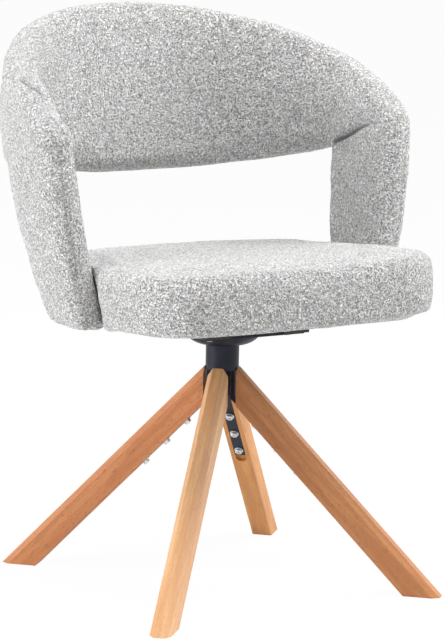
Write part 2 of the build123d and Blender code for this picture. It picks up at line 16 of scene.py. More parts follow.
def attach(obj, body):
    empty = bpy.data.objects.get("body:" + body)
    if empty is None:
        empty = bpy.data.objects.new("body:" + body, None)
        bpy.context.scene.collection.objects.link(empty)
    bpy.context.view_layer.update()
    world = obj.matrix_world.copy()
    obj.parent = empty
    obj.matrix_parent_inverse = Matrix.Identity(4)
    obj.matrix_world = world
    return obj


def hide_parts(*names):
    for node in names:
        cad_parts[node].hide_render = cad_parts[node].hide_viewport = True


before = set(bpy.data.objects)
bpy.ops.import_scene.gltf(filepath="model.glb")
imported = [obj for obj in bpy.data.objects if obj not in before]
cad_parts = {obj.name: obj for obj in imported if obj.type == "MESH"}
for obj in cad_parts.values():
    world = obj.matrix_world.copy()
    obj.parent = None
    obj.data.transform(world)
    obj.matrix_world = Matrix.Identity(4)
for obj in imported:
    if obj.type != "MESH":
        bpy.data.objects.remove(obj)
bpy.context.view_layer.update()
scene = bpy.context.scene

# ---------------------------------------------------------------- sizes of the padding, mm
quad_size = 5.0             # of the remeshed padding
slimmer = 1.6               # how much smaller the padding starts before it swells
foam_pressure, foam_frames = 4, 20   # of the cloth simulation
foam_share = 0.5            # how much of the simulated variation is kept
foam_fall, foam_rise = 0.8, 1.2      # its most, inwards and outwards

pad_half = 27.0             # half the horseshoe's thickness
pad_crown = 3.0             # swelling of its faces
edge_crown = 1.0            # swelling of its edges
corner_radii = (14.0, 10.0, 16.0, 18.0)   # front outside, rear outside, rear inside, front inside
foot_corner_radius = 6.0    # of the inner front edge at the posts' feet
face_points, edge_points = 26, 8     # across a cut's long and short sides
post_turn = 6.5             # how far the posts reach round behind the window
corner_fill = 9.0           # how far the window's outer corner is filled out
plan_centre = 9.8           # Y where the horseshoe's straight arms become its curve
plan_height = 600.0         # where its plan is measured
plan_half, half_slope, half_bend = 275.1, 10.5, 4.66   # half width, and its change with height
plan_depth, depth_slope = 244.9, 24.6
plan_power, power_slope = 2.62, 0.25   # of the superellipse
arm_toe_in, toe_in_run = 5.5, 56     # how far the arms turn inwards on their way forward
window_angle, window_height, window_radius = 68.8, 604.0, 8.0   # its corner: degrees, mm, mm
arm_angle = 92.0            # degrees round, at the arms' fronts
foot_height = 390.0         # underside of the posts
post_span = window_height - foot_height
front_rim, front_shift = -19, 9      # Y of the posts' front at the foot, further back above
rear_rim, rear_taper = 79, 53.5      # Y of their rear at the window, further forward below
top_height, top_fall = 792, 137      # rim of the back's top edge, and its fall to the arms
low_height, low_rise = 598, 42       # rim of its lower edge, and its rise to the window
horseshoe_rows = 300        # of points in the finished surface
lean_right, lean_left = 4.0, 9.0     # how far the back's sides lean towards +X at the top
arm_lift_left, arm_lift_right = 6.0, 2.5   # how much higher the arm tops stand
rim_lift_left = 1.5         # the same along the rim behind the left arm

seam_rear = (108.0, 616.0)  # Y and Z of the seam between back and posts
seam_front = (-35.0, 664.0)
seam_slope = (seam_front[1] - seam_rear[1]) / (seam_front[0] - seam_rear[0])
seam_bow = 5.0              # how far the seam's middle bows up
seam_bow_y, seam_bow_run = 26, 26
seam_depth, seam_deepening = 0.8, 7.0   # inside, and what it gains towards the window
seam_front_depth = 0.7
seam_width, seam_widening = 1.6, 1.3
overhang, overhang_run = 4.5, 22     # the back's swelling over its posts
post_seam_depth, post_seam_width = 1.0, 1.9   # down the posts' fronts
arm_fold = (
    (-255.0, 12.0, 684.0), (-267.0, 37.0, 701.0), (-281.0, 52.0, 714.0), (-286.0, 78.0, 725.0))
fold_depth, fold_width = 2.8, 2.4
fold_shade = 4              # depth at which a crease's painted shade is darkest

cloth_rise, cloth_wave = 0.28, 7.5   # height and wavelength of the cloth's own unevenness
back_rise, back_wave = 0.5, 60       # of the foam in back and posts
cushion_rise, cushion_wave = 0.6, 80

seat_tilt = math.radians(2.8)
seat_under = 392.0          # underside of the cushion at the swivel axis
seat_half, seat_front, seat_back = 238.0, 243.0, 200.0
seat_front_power, seat_back_power = 6.0, 2.8   # of the outline's superellipses
seat_side = 85.0            # height of the cushion's side
seat_roll, seat_low_roll = 19.0, 13.0   # radii of its upper and lower edge
seat_bulge = 1.5            # how far its side stands out at mid height
seat_crown, seat_crown_run = 6, 110
seat_rise = 8               # how much higher its front corner on the +X side is
ear_rear, ear_radius = 47.5, 24.0    # the ears beside the posts
ear_taper, ear_taper_height = 12, 45 # how far they are drawn in, up to a height
ear_drop = 4.5              # how much lower they reach
post_gap, post_hug = 0.3, 0.9        # between posts and cushion


# ================================================================ meshes
def smooth(value, low, high):
    """Cubic step from 0 at low to 1 at high."""
    share = np.clip((value - low) / (high - low), 0, 1)
    return share * share * (3 - 2 * share)


def skin(name, rings):
    """Closed mesh over a stack of closed rings, rows by around by xyz, with flat ends."""
    rows, around, _ = rings.shape
    index = np.arange(rows * around).reshape(rows, around)
    low, high = index[:-1], index[1:]
    quads = np.stack([low, np.roll(low, -1, 1), np.roll(high, -1, 1), high], -1).reshape(-1, 4)
    faces = quads.tolist() + [index[0][::-1].tolist(), index[-1].tolist()]
    mesh = bpy.data.meshes.new(name)
    mesh.from_pydata((rings.reshape(-1, 3) / 1000).tolist(), [], faces)
    work = bmesh.new()
    work.from_mesh(mesh)
    bmesh.ops.recalc_face_normals(work, faces=work.faces)
    work.to_mesh(mesh)
    work.free()
    piece = bpy.data.objects.new(name, mesh)
    scene.collection.objects.link(piece)
    return piece


def points_of(mesh):
    """The mesh's points in millimetres."""
    flat = np.empty(len(mesh.vertices) * 3)
    mesh.vertices.foreach_get("co", flat)
    return flat.reshape(-1, 3) * 1000


def normals_of(mesh):
    """The unit normals at the mesh's points."""
    flat = np.empty(len(mesh.vertices) * 3)
    mesh.vertices.foreach_get("normal", flat)
    return flat.reshape(-1, 3)


def move_points(mesh, points):
    """Puts the mesh's points at places in millimetres."""
    mesh.vertices.foreach_set("co", (points / 1000).ravel())
    mesh.update()


def settle(piece):
    """Makes the piece's modifiers part of its mesh."""
    graph = bpy.context.evaluated_depsgraph_get()
    made = bpy.data.meshes.new_from_object(piece.evaluated_get(graph))
    old = piece.data
    piece.modifiers.clear()
    piece.data = made
    made.name = piece.name
    bpy.data.meshes.remove(old)


def swell(piece):
    """Even quads, swollen along their normals, then finer quads.

    The rise is even, plus a share of how much more or less than its median the point moved
    in a cloth simulation under pressure, within limits.
    """
    remesh = piece.modifiers.new("even_quads", "REMESH")
    remesh.mode = "VOXEL"
    remesh.voxel_size = quad_size / 1000
    settle(piece)
    start, normals = points_of(piece.data), normals_of(piece.data)
    rise = np.full(len(start), slimmer)
    cloth = piece.modifiers.new("foam", "CLOTH")
    cloth.settings.use_pressure = True
    cloth.settings.uniform_pressure_force = foam_pressure
    cloth.settings.effector_weights.gravity = 0
    for step in range(1, foam_frames + 1):
        scene.frame_set(step)
    graph = bpy.context.evaluated_depsgraph_get()
    swollen = points_of(piece.evaluated_get(graph).data)
    piece.modifiers.clear()
    scene.frame_set(1)
    shift = swollen - start
    shift -= shift.mean(0)
    out = np.sum(shift * normals, axis=1)
    rise += np.clip(foam_share * (out - np.median(out)), -foam_fall, foam_rise)
    move_points(piece.data, start + rise[:, None] * normals)
    finer = piece.modifiers.new("finer_quads", "SUBSURF")
    finer.levels = finer.render_levels = 1
    settle(piece)
    piece.data.shade_smooth()


def lumps(points, wavelength, seed, waves=22):
    """Gentle unevenness: the sum of plane waves in random directions, about -1 to 1."""
    chance = np.random.default_rng(seed)
    total = np.zeros(len(points))
    for _ in range(waves):
        way = chance.normal(size=3)
        way /= np.linalg.norm(way)
        length = wavelength * chance.uniform(0.75, 1.35)
        total += np.sin(points @ way * (2 * math.pi / length) + chance.uniform(0, 2 * math.pi))
    return total / math.sqrt(waves)


# ================================================================ horseshoe back and arm posts
def plan_shape(height):
    """Half width, depth and power of the mid-surface's superellipse at a height.

    Width is a square function of the height, depth and power are straight ones, and q is the
    height above plan_height in units of 100 mm.
    """
    q = (height - plan_height) / 100
    half = plan_half + half_slope * q - half_bend * q * q
    return half, plan_depth + depth_slope * q, plan_power - power_slope * q


def toe_in(y, height):
    """How far an arm turns inwards: the distance forward from the curve, to the power 1.5."""
    forward = np.maximum(plan_centre - y, 0)
    return arm_toe_in * smooth(height, 470, 580) * (forward / toe_in_run) ** 1.5


def curve_point(angle, height):
    """Mid-surface at an angle round the +X side: a superellipse, straight on from 90 degrees."""
    half, depth, power = plan_shape(height)
    turn = np.radians(np.minimum(angle, 90))
    reach = ((np.sin(turn) / half) ** power + (np.cos(turn) / depth) ** power) ** (-1 / power)
    y = plan_centre + reach * np.cos(turn) - np.radians(np.maximum(angle - 90, 0)) * half
    return np.stack([reach * np.sin(turn) - toe_in(y, height), y, height], -1)


def side_point(y, height):
    """Mid-surface of the +X side at a Y: the superellipse solved for X, less the toe-in."""
    half, depth, power = plan_shape(height)
    share = np.maximum(y - plan_centre, 0) / depth
    x = half * (1 - share ** power) ** (1 / power)
    return np.stack([x - toe_in(y, height), y, height], -1)


def top_line(angle):
    """Rim of the top edge: highest at the back's middle, falling as the angle squared."""
    return top_height - top_fall * (angle / arm_angle) ** 2


def low_line(angle):
    """Rim of the back's lower edge, rising to the window's corner as the angle to the 2.5."""
    return low_height + low_rise * (angle / window_angle) ** 2.5


def post_front(height):
    """Y of the posts' front rim, moving back as the height above the foot to the 2.5."""
    return front_rim + front_shift * (np.maximum(height - foot_height, 0) / post_span) ** 2.5


def post_rear(height):
    """Y of the posts' rear rim, moving forward as the depth below the window to the 1.45."""
    return rear_rim - rear_taper * (np.maximum(window_height - height, 0) / post_span) ** 1.45


def inner_front_radius(height):
    """Rounding of the posts' inner front edge: a smooth step up from its size at the foot."""
    gain = corner_radii[3] - foot_corner_radius
    return foot_corner_radius + gain * smooth(height, 395, 470)


def stations():
    """Rims and inset of the cuts from the +X post's foot to the back's middle.

    Level cuts up the post, then a fan of cuts round the window's corner, whose outer rims climb
    the arm's front and follow its top, then upright cuts along the back.
    """
    shares = np.array([0.27, 0.48, 0.68, 0.86])
    heights = np.concatenate([
        foot_height + np.array([0, 2.5, 8, 18.0]), foot_height + post_span * shares])
    insets = [np.array([5.0, 2.0, 0.3, 0, 0, 0, 0, 0])]
    inner = [side_point(post_rear(heights), heights)]
    outer = [side_point(post_front(heights), heights)]

    turns = np.radians(np.arange(7) * 15.0)
    half = plan_shape(window_height)[0]
    radius = pad_half + window_radius
    around = math.radians(window_angle) * half + radius * np.cos(turns)
    inner.append(curve_point(np.degrees(around / half), window_height + radius * np.sin(turns)))
    fronts = window_height + (top_line(arm_angle) - window_height) * np.array([0, 0.5, 1])
    outer.append(side_point(post_front(fronts), fronts))
    shares = np.array([0.25, 0.5, 0.75, 1]) ** 0.9
    angles = arm_angle + (window_angle - arm_angle) * shares
    outer.append(curve_point(angles, top_line(angles)))

    angles = window_angle * np.array([0.89, 0.77, 0.64, 0.5, 0.34, 0.17, 0])
    inner.append(curve_point(angles, low_line(angles)))
    outer.append(curve_point(angles, top_line(angles)))
    insets.append(np.zeros(len(turns) + len(angles)))
    return np.concatenate(inner), np.concatenate(outer), np.concatenate(insets)


def level_normal(points):
    """Unit normal of the mid-surface, without its slope: the gradient of the superellipse."""
    half, depth, power = plan_shape(points[:, 2])
    x = (np.maximum(points[:, 0], 0) / half) ** (power - 1) / half
    y = (np.maximum(points[:, 1] - plan_centre, 0) / depth) ** (power - 1) / depth
    normal = np.stack([x, y, np.zeros_like(x)], -1)
    return normal / np.linalg.norm(normal, axis=1, keepdims=True)


def horseshoe_cuts():
    """Closed cuts of the padding: rounded rectangles with swelling sides, one per station.

    u runs along a cut from its inner to its outer rim, v square to it and outwards. A side
    swells by a parabola. Behind the window the cuts reach further round, and a bell curve over
    the stations fills the window's outer corner.
    """
    inner, outer, inset = stations()
    inset = inset + slimmer
    middle, run = (inner + outer) / 2, outer - inner
    length = np.linalg.norm(run, axis=1, keepdims=True)
    run = run / length
    normal = level_normal(middle)
    normal -= run * np.sum(normal * run, 1, keepdims=True)
    normal /= np.linalg.norm(normal, axis=1, keepdims=True)
    end = length[:, 0] / 2 + pad_half - inset
    half = pad_half - pad_crown - inset
    radii = [np.minimum(size, half - 1) for size in corner_radii]
    radii[3] = np.minimum(inner_front_radius(middle[:, 2]), half - 1)
    us, vs = [], []
    corners = (
        (1, 1, face_points, pad_crown), (-1, 1, edge_points, edge_crown),
        (-1, -1, face_points, pad_crown), (1, -1, edge_points, edge_crown))
    for quarter, (u, v, along, bulge) in enumerate(corners):
        radius = radii[quarter][:, None]
        next_radius = radii[(quarter + 1) % 4][:, None]
        turn = np.radians(np.linspace(90 * quarter, 90 * quarter + 90, 10))[None]
        us.append(u * (end[:, None] - radius) + radius * np.cos(turn))
        vs.append(v * (half[:, None] - radius) + radius * np.sin(turn))
        share = np.linspace(0, 1, along)[None, 1:-1]
        swelling = bulge * (1 - (2 * share - 1) ** 2)
        if along == face_points:
            start, stop = u * (end[:, None] - radius), -u * (end[:, None] - next_radius)
            us.append(start + (stop - start) * share)
            vs.append(v * (half[:, None] + swelling))
        else:
            start, stop = v * (half[:, None] - radius), -v * (half[:, None] - next_radius)
            us.append(u * (end[:, None] + swelling))
            vs.append(start + (stop - start) * share)
    u, v = np.concatenate(us, 1)[..., None], np.concatenate(vs, 1)[..., None]
    rearward = smooth(-u / end[:, None, None], 0.3, 1)
    outward = smooth(v / pad_half, -0.2, 0.8)
    height = middle[:, None, 2:]
    turned = rearward * smooth(height, 420, 500) * (1 - smooth(height, 632, 665))
    corner_station, corner_run = 9.5, 3.2   # counted in cuts from the foot
    corner = np.exp(-((np.arange(len(middle)) - corner_station) / corner_run) ** 2)
    u = u - post_turn * turned - corner_fill * rearward * outward * corner[:, None, None]
    inwards = 0.6   # share of the turn, so that it follows the curve
    v = v - inwards * post_turn * turned
    right = middle[:, None] + run[:, None] * u + normal[:, None] * v
    left = right[:-1][::-1] * np.array([-1, 1, 1])
    return uneven(np.concatenate([right, left]))


def uneven(cuts):
    """Gives the upper padding its two unlike sides.

    The back's sides lean to +X by smooth steps of height and width, and bell curves along Y
    raise the arm tops.
    """
    high = smooth(cuts[..., 2], 680, 750)
    lean = lean_right * smooth(-cuts[..., 0], 110, 220) + lean_left * smooth(cuts[..., 0], 110, 220)
    cuts[..., 0] += high * lean
    y, z = cuts[..., 1], cuts[..., 2].copy()
    left = arm_lift_left * np.exp(-((y - 22) / 24) ** 2)
    left += rim_lift_left * np.exp(-((y - 105) / 50) ** 2)
    right = arm_lift_right * np.exp(-((y - 60) / 25) ** 2)
    side = smooth(cuts[..., 0], -100, 100)
    cuts[..., 2] += (side * left + (1 - side) * right) * smooth(z, 600, 665)
    return cuts


def through(rows, count):
    """Natural cubic spline through the rows, with knots at their mean distance, sampled evenly."""
    flat = rows.reshape(len(rows), -1)
    gaps = np.linalg.norm(np.diff(rows, axis=0), axis=2).mean(1)
    knots = np.concatenate([[0], np.cumsum(gaps)])
    system = np.eye(len(rows))
    right_side = np.zeros_like(flat)
    inside = np.arange(1, len(rows) - 1)
    system[inside, inside - 1] = gaps[:-1]
    system[inside, inside] = 2 * (gaps[:-1] + gaps[1:])
    system[inside, inside + 1] = gaps[1:]
    slopes = np.diff(flat, axis=0) / gaps[:, None]
    right_side[1:-1] = 6 * np.diff(slopes, axis=0)
    bend = np.linalg.solve(system, right_side)
    at = np.linspace(0, knots[-1], count)
    span = np.clip(np.searchsorted(knots, at) - 1, 0, len(gaps) - 1)
    gap = gaps[span][:, None]
    before, after = (at - knots[span])[:, None], (knots[span + 1] - at)[:, None]
    curve = (bend[span] * after ** 3 + bend[span + 1] * before ** 3) / (6 * gap)
    curve += (flat[span] / gap - bend[span] * gap / 6) * after
    curve += (flat[span + 1] / gap - bend[span + 1] * gap / 6) * before
    return curve.reshape(count, *rows.shape[1:])


def seam_height(y):
    """The seam's height: a straight line from the window's corner up to the arm's front."""
    return seam_rear[1] + (y - seam_rear[0]) * seam_slope


def above_seam(points):
    """Distance of a point above the seam, square to it."""
    return (points[:, 2] - seam_height(points[:, 1])) / math.hypot(1, seam_slope)


def crease_horseshoe(mesh):
    """Sinks the seams and the arm's fold into the padding, and swells the back over its posts.

    Every crease is a bell curve of the distance from its line, along the normal. The overhang
    is x exp(1 - x) of the distance above the seam. How deep a point was sunk is kept as the
    attribute fold, painted shade that darkens the cloth there.
    """
    points, normals = points_of(mesh), normals_of(mesh)
    x, y, z = np.abs(points[:, 0]), points[:, 1], points[:, 2]
    d = above_seam(points) - seam_bow * np.exp(-((y - seam_bow_y) / seam_bow_run) ** 2)
    rear = smooth(y, -6, 60)
    inside = smooth(-np.sign(points[:, 0]) * normals[:, 0], -0.1, 0.6)
    ahead = smooth(-normals[:, 1], 0.2, 0.8)
    reach = (x > 150) * (1 - smooth(y, 90, 106))
    depth = (seam_front_depth * ahead + (seam_depth + seam_deepening * rear) * inside) * reach
    push = -depth * np.exp(-(np.abs(d) / (seam_width + seam_widening * rear * inside)) ** 1.4)
    over = np.clip(d / overhang_run, 0, None)
    push += overhang * rear * inside * reach * over * np.exp(1 - over) * smooth(d, 0, 5)
    middle = side_point(post_front(z), z)[:, 0] + 8
    front = (x > 150) & (normals[:, 1] < -0.5) & (z < 650)
    push -= post_seam_depth * front * np.exp(-((x - middle) / post_seam_width) ** 2)
    far, through_pad = 99, 14   # so that the fold stays out of the padding's other side
    near = np.full(len(points), 1e3)
    for start, stop in zip(arm_fold, arm_fold[1:]):
        way = np.subtract(stop, start)
        share = np.clip((points - start) @ way / (way @ way), 0, 1)[:, None]
        off = points - start - share * way
        rise = np.sum(off * normals, axis=1)
        off -= rise[:, None] * normals
        near = np.minimum(near, np.linalg.norm(off, axis=1) + far * (np.abs(rise) > through_pad))
    push -= fold_depth * np.exp(-(near / fold_width) ** 2)
    # painted shade: the deeper a point sits in a seam or the arm's fold, the darker its cloth
    shade = mesh.attributes.new("fold", "FLOAT", "POINT")
    shade.data.foreach_set("value", np.clip(-push / fold_shade, 0, 1))
    push += cloth_rise * lumps(points, cloth_wave, 5) + back_rise * lumps(points, back_wave, 6)
    move_points(mesh, points + normals * push[:, None])


def cut(work, faces, point, normal):
    """Adds an edge loop where a plane meets the faces."""
    edges = {edge for face in faces for edge in face.edges}
    verts = {vert for face in faces for vert in face.verts}
    bmesh.ops.bisect_plane(
        work, geom=list(faces) + list(edges) + list(verts), dist=1e-6,
        plane_co=[value / 1000 for value in point], plane_no=normal)


def split_horseshoe(piece):
    """Adds edge loops along the seam, creases it, and marks which faces belong to the posts.

    Returns the marks and the faces' X.
    """
    work = bmesh.new()
    work.from_mesh(piece.data)
    normal = np.array([0, -seam_slope, 1]) / math.hypot(1, seam_slope)
    for shift in (-4.5, -1.8, 0, 1.8, 4.5):   # mm above the seam
        near = [face for face in work.faces if abs(face.calc_center_median().x) > 0.15]
        cut(work, near, np.array([0, *seam_rear]) + normal * shift, normal)
    end = seam_rear[0] + 3

    def is_below(face):
        """Below the seam's plane."""
        return above_seam(np.array(face.calc_center_median())[None] * 1000)[0] < 0

    def is_post(face):
        """Below the seam, and not behind the posts."""
        return is_below(face) and face.calc_center_median().y * 1000 < end

    cut(work, [face for face in work.faces if is_below(face)], (0, end, 0), (0, 1, 0))
    work.to_mesh(piece.data)
    work.free()
    crease_horseshoe(piece.data)
    work = bmesh.new()
    work.from_mesh(piece.data)
    faces = list(work.faces)
    marks = np.array([is_post(face) for face in faces])
    sides = np.array([face.calc_center_median().x for face in faces])
    work.free()
    return marks, sides


def part_of(piece, name, keep):
    """Copies the chosen faces into a new piece and closes the opening that is left.

    The points keep the whole horseshoe's normals, so that no line shows where it was parted.
    """
    work = bmesh.new()
    work.from_mesh(piece.data)
    work.faces.ensure_lookup_table()
    normals = {vert: vert.normal.copy() for vert in work.verts}
    away = [face for face, kept in zip(work.faces, keep) if not kept]
    bmesh.ops.delete(work, geom=away, context="FACES")
    open_edges = [edge for edge in work.edges if edge.is_boundary]
    bmesh.ops.triangle_fill(work, use_beauty=True, edges=open_edges)
    bmesh.ops.recalc_face_normals(work, faces=work.faces)
    mesh = bpy.data.meshes.new(name)
    work.to_mesh(mesh)
    mesh.normals_split_custom_set_from_vertices([normals[vert] for vert in work.verts])
    work.free()
    made = bpy.data.objects.new(name, mesh)
    scene.collection.objects.link(made)
    return made


# ================================================================ seat cushion
def even(line, count):
    """A line of points at even distances."""
    steps = np.linalg.norm(np.diff(line, axis=0), axis=1)
    along = np.concatenate([[0], np.cumsum(steps)])
    at = np.linspace(0, along[-1], count)
    return np.stack([np.interp(at, along, line[:, axis]) for axis in range(line.shape[1])], -1)


def seat_ring(inset, height):
    """Outline of the cushion at one height above its underside.

    A superellipse, squarer in front. From ear_rear backwards it is held in by the posts, whose
    rounded inner front edge it hugs. Ahead of them its corners are rounded off as ears, and
    taper towards the underside.
    """
    fine, coarse, between = 6001, 90, 8   # points along half the outline, its ends, and a gap
    turn = np.radians(np.linspace(-90, 90, fine))
    power = np.where(turn < 0, seat_front_power, seat_back_power)
    reach = np.where(turn < 0, seat_front, seat_back) - inset
    x = (seat_half - inset) * np.abs(np.cos(turn)) ** (2 / power)
    y = reach * np.sign(turn) * np.abs(np.sin(turn)) ** (2 / power)
    world = seat_under + height
    radius = inner_front_radius(world)
    post_edge = radius - np.clip(y + ear_rear, 0, radius)
    hug = radius - np.sqrt(radius ** 2 - post_edge ** 2)
    limit = plan_shape(world)[0] - pad_half - post_gap + post_hug * hug
    front = y < -ear_rear
    centre = -ear_rear - ear_radius
    lean = np.clip((y - centre) / ear_radius, 0, 1)
    rounded = seat_half - ear_radius + ear_radius * np.sqrt(1 - lean ** 2)
    taper = ear_taper * np.clip(1 - height / ear_taper_height, 0, 1)
    rounded = rounded - taper * smooth(y, -100, -ear_rear)
    ahead = np.stack([np.minimum(x, rounded), y], -1)[front]
    behind = np.stack([np.minimum(x, limit), y], -1)[~front]
    step = np.linspace(ahead[-1], behind[0], between)[1:-1]
    right = np.concatenate([even(ahead, coarse), step, even(behind, coarse)])
    left = right[1:-1][::-1] * np.array([-1, 1])
    flat = np.concatenate([right, left])
    return np.concatenate([flat, np.full((len(flat), 1), height)], 1)


def seat_rings():
    """Stack of outlines, each an inset and a height, then tilted with the seat.

    Flat underside, lower edge rolled by a circle's quarter, side swelling as a sine, upper edge
    rolled by another quarter, top crowned as a sine. Then the front corner on the +X side rises
    by a smooth step, except for the underside round the board, and the ears reach lower.
    """
    flat = [(36, 0), (28, 0)]
    low = [
        (seat_low_roll * (1 - math.cos(turn)), seat_low_roll * (1 - math.sin(turn)))
        for turn in np.radians([90, 60, 30])]
    span = seat_side - seat_low_roll - seat_roll
    side = [
        (-seat_bulge * math.sin(math.pi * share), seat_low_roll + span * share)
        for share in np.linspace(0, 1, 10)]
    high = [
        (seat_roll * (1 - math.cos(turn)), seat_side - seat_roll * (1 - math.sin(turn)))
        for turn in np.radians([15, 30, 45, 60, 75])]
    crown = [
        (seat_roll + seat_crown_run * share, seat_side + seat_crown * math.sin(math.pi / 2 * share))
        for share in np.linspace(0, 1, 16)]
    lowest = slimmer / 2
    rings = np.stack([
        seat_ring(inset + slimmer, max(height, lowest))
        for inset, height in flat + low + side + high + crown])
    rings[..., 2] -= slimmer * smooth(rings[..., 2], 60, 85)
    y, z = rings[..., 1].copy(), rings[..., 2].copy()
    rings[..., 1] = y * math.cos(seat_tilt) + z * math.sin(seat_tilt)
    rings[..., 2] = seat_under - y * math.sin(seat_tilt) + z * math.cos(seat_tilt)
    under = 1 - smooth(rings[..., 2], 400, 450)
    tip = smooth(rings[..., 0], 185, 238)
    rise = seat_rise * smooth(rings[..., 0], 30, 200) + tip * (1 - 6 * under)
    bead = 3   # hides the board's edge under the raised corner
    rise[0] = 0
    rise[1] = -bead * smooth(rings[1, :, 0], 30, 200)
    rings[..., 2] += rise * (1 - smooth(rings[..., 1], -130, 60))
    ear = smooth(np.abs(rings[..., 0]), 150, 200) * smooth(rings[..., 1], -105, -60)
    ear *= rings[..., 1] < -40
    rings[..., 2] -= ear_drop * ear * (1 - smooth(rings[..., 2], 395, 425))
    return rings


def crease_seat(mesh):
    """Gives the cushion its unevenness, and marks the clefts beside the posts in the attribute
    fold, painted shade that darkens the cloth there.
    """
    points, normals = points_of(mesh), normals_of(mesh)
    ear = (np.abs(points[:, 0]) > 180) & (points[:, 1] > -90) & (points[:, 1] < -30)
    # painted shade in the clefts beside the posts, where the ears' rear faces turn back
    shade = mesh.attributes.new("fold", "FLOAT", "POINT")
    shade.data.foreach_set("value", ear * smooth(normals[:, 1], 0.05, 0.6))
    push = cloth_rise * lumps(points, cloth_wave, 8)
    push += cushion_rise * lumps(points, cushion_wave, 9)
    push *= smooth(points[:, 2], seat_under - 4, seat_under + 20)
    move_points(mesh, points + normals * push[:, None])


# ================================================================ finishes
class Field:
    """A value that varies over a surface. Arithmetic on it adds Math nodes to its finish."""

    def __init__(self, finish, socket):
        self.finish, self.socket = finish, socket

    def maths(self, operation, *values):
        """One Math node over the values."""
        return self.finish.node(
            "ShaderNodeMath", {"operation": operation}, dict(enumerate(values)))

    def __add__(self, other):
        return self.maths("ADD", self, other)

    def __sub__(self, other):
        return self.maths("SUBTRACT", self, other)

    def __rsub__(self, other):
        return self.maths("SUBTRACT", other, self)

    def __mul__(self, other):
        return self.maths("MULTIPLY", self, other)

    def __abs__(self):
        return self.maths("ABSOLUTE", self)

    def step(self, low, high):
        """Smooth step from 0 at low to 1 at high."""
        return self.finish.node(
            "ShaderNodeMapRange", {"interpolation_type": "SMOOTHSTEP"},
            {"Value": self, "From Min": low, "From Max": high}, "Result")


class Finish:
    """A material under construction, with the place on the object as its coordinates."""

    def __init__(self, name):
        self.material = bpy.data.materials.new(name)
        self.material.use_nodes = True
        self.tree = self.material.node_tree
        self.tree.nodes.clear()
        self.place = self.node("ShaderNodeTexCoord", output="Object")

    def node(self, kind, settings=None, inputs=None, output=0):
        """Adds a node, sets or links its inputs by name or number, and gives one output."""
        made = self.tree.nodes.new(kind)
        for key, value in (settings or {}).items():
            setattr(made, key, value)
        for key, value in (inputs or {}).items():
            socket = made.inputs[key] if isinstance(key, int) else next(
                s for s in made.inputs if key in (s.identifier, s.name))
            if isinstance(value, Field):
                self.tree.links.new(value.socket, socket)
            else:
                socket.default_value = value
        result = made.outputs[output] if isinstance(output, int) else next(
            s for s in made.outputs if output in (s.identifier, s.name))
        return Field(self, result)

    def noise(self, place, scale, detail=1.0, rough=0.5, distortion=0.0, output="Fac"):
        """Random unevenness of about 0 to 1."""
        return self.node("ShaderNodeTexNoise", None, {
            "Vector": place, "Scale": scale, "Detail": detail, "Roughness": rough,
            "Distortion": distortion}, output)

    def mix(self, share, first, second, blend="MIX"):
        """The first colour, with a share of the second blended into it."""
        return self.node("ShaderNodeMix", {"data_type": "RGBA", "blend_type": blend}, {
            "Factor_Float": share, "A_Color": (*first, 1) if isinstance(first, tuple) else first,
            "B_Color": (*second, 1) if isinstance(second, tuple) else second}, "Result_Color")

    def along(self, direction):
        """Distance along a direction: the place's dot product with it."""
        return self.node(
            "ShaderNodeVectorMath", {"operation": "DOT_PRODUCT"},
            {0: self.place, 1: direction}, "Value")

    def stretched(self, *parts):
        """The place of a noise, from three distances, each times its own scale."""
        return self.node("ShaderNodeCombineXYZ", None, dict(zip("XYZ", parts)))

    def bump(self, height, depth, strength=1.0):
        """Normal of a relief whose height is 0 to 1 times its depth in metres."""
        return self.node("ShaderNodeBump", None, {
            "Strength": strength, "Distance": depth, "Height": height})

    def surface(self, **sockets):
        """Ends the finish with a principled shader and gives its material."""
        names = {
            key.replace("_", " ").title().replace("Ior", "IOR"): value
            for key, value in sockets.items()}
        self.end_with(self.node("ShaderNodeBsdfPrincipled", None, names))
        return self.material

    def end_with(self, shader):
        """Makes a shader the material's surface."""
        out = self.tree.nodes.new("ShaderNodeOutputMaterial")
        self.tree.links.new(shader.socket, out.inputs["Surface"])


def boucle_cloth():
    """Looped wool cloth: cream loops with grey ones between, a few millimetres across, with painted
    shade in the hollows between strands and along the creases marked in the attribute fold.
    """
    finish = Finish("boucle")
    wander = finish.noise(finish.place, 260, 1, output="Color")
    shift = finish.node(
        "ShaderNodeVectorMath", {"operation": "SUBTRACT"}, {0: wander, 1: (0.5,) * 3}, "Vector")
    curl = 0.006
    curled = finish.node(
        "ShaderNodeVectorMath", {"operation": "MULTIPLY_ADD"},
        {0: shift, 1: (curl,) * 3, 2: finish.place}, "Vector")
    loops = finish.noise(curled, 430, 0)
    strands = 1 - abs(finish.noise(curled, 400, 0) * 2 - 1) * 2.2
    grey_share = finish.noise(curled, 450, 0).step(0.52, 0.60)
    gaps = 1 - strands.step(0.10, 0.55)
    patches = finish.noise(finish.place, 26, 2, 0.6)
    cream = finish.mix(patches.step(0.35, 0.65), (0.96, 0.945, 0.92), (0.95, 0.95, 0.95))
    grey = finish.mix(patches.step(0.4, 0.7), (0.24, 0.236, 0.23), (0.23, 0.234, 0.24))
    yarn = finish.mix(grey_share * 0.85, cream, grey)
    # painted shade: the hollows between the strands, where gaps is high, are darkened
    colour = finish.mix(gaps * 0.6, yarn, (0.19,) * 3)
    # painted shade in the seams, the arm's fold and the seat's clefts, read from the attribute fold
    fold = finish.node("ShaderNodeAttribute", {"attribute_name": "fold"}, output="Fac")
    colour = finish.mix(fold * 0.75, colour, (0.10,) * 3)
    height = loops * 0.7 + strands * 0.6
    return finish.surface(
        base_color=colour, roughness=0.92, normal=finish.bump(height, 0.0040, 1.0),
        sheen_weight=0.6, sheen_roughness=0.4, specular_ior_level=0.2)


